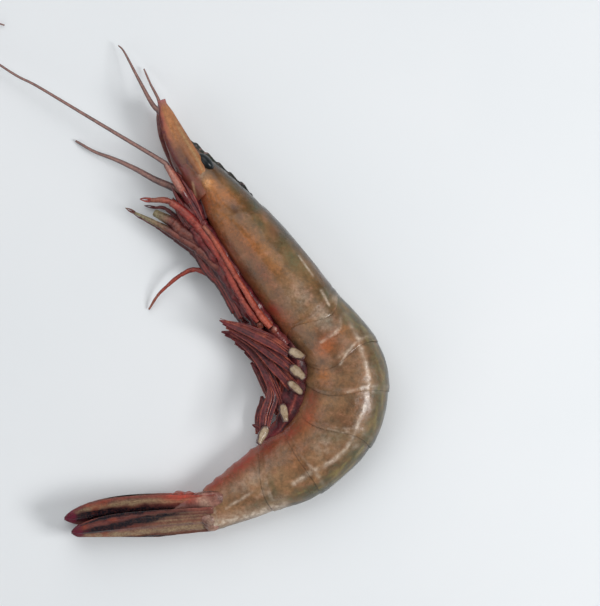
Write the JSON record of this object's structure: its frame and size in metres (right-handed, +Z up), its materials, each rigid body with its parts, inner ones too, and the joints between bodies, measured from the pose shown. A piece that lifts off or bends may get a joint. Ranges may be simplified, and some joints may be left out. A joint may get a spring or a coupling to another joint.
{
  "type": "raw tiger prawn",
  "caption": "Whole raw prawn lying on its side: toothed head shield, curled ringed body, walking and swimming legs, feelers and a folded tail fan.",
  "frame": {"origin": "middle of the box round the prawn, at the level it lies on", "axes": "+Z up through the left side that shows, +Y along the longer way of the curled body towards the head end, +X towards the curled back"},
  "size_m": [0.1102, 0.1348, 0.0174],
  "materials": {
    "head_shell": "wet glossy olive-brown shell",
    "body_shell": "wet glossy grey-brown shell",
    "tail_shell": "wet dark shell with tan ribs",
    "leg_shell": "wet reddish shell",
    "swimming_leg": "wet purple-brown soft skin",
    "eye": "black gloss"
  },
  "bodies": {
    "root": {"carapace": "head_shell", "abdomen_1": "body_shell", "abdomen_2": "body_shell", "abdomen_3": "body_shell", "abdomen_4": "body_shell", "abdomen_5": "body_shell", "abdomen_6": "body_shell", "telson": "tail_shell", "uropod_inner_left": "tail_shell", "uropod_inner_right": "tail_shell", "uropod_outer_left": "tail_shell", "uropod_outer_right": "tail_shell", "eye_left": "eye", "eye_right": "eye", "antennal_scale_left": "body_shell", "antennal_scale_right": "body_shell", "antenna_left": "leg_shell", "antenna_right": "leg_shell", "antennule_left": "leg_shell", "antennule_right": "leg_shell", "thorax_floor": "swimming_leg", "maxilliped_left": "leg_shell", "pereiopod_left_1": "leg_shell", "pereiopod_left_2": "leg_shell", "pereiopod_left_3": "leg_shell", "pereiopod_left_4": "leg_shell", "pereiopod_left_5": "leg_shell", "maxilliped_right": "leg_shell", "pereiopod_right_1": "leg_shell", "pereiopod_right_2": "leg_shell", "pereiopod_right_3": "leg_shell", "pereiopod_right_4": "leg_shell", "pereiopod_right_5": "leg_shell", "pleopod_left_1": "swimming_leg", "pleopod_left_2": "swimming_leg", "pleopod_left_3": "swimming_leg", "pleopod_left_4": "swimming_leg", "pleopod_left_5": "swimming_leg", "pleopod_right_1": "swimming_leg", "pleopod_right_2": "swimming_leg", "pleopod_right_3": "swimming_leg", "pleopod_right_4": "swimming_leg", "pleopod_right_5": "swimming_leg"}
  },
  "joints": []
}
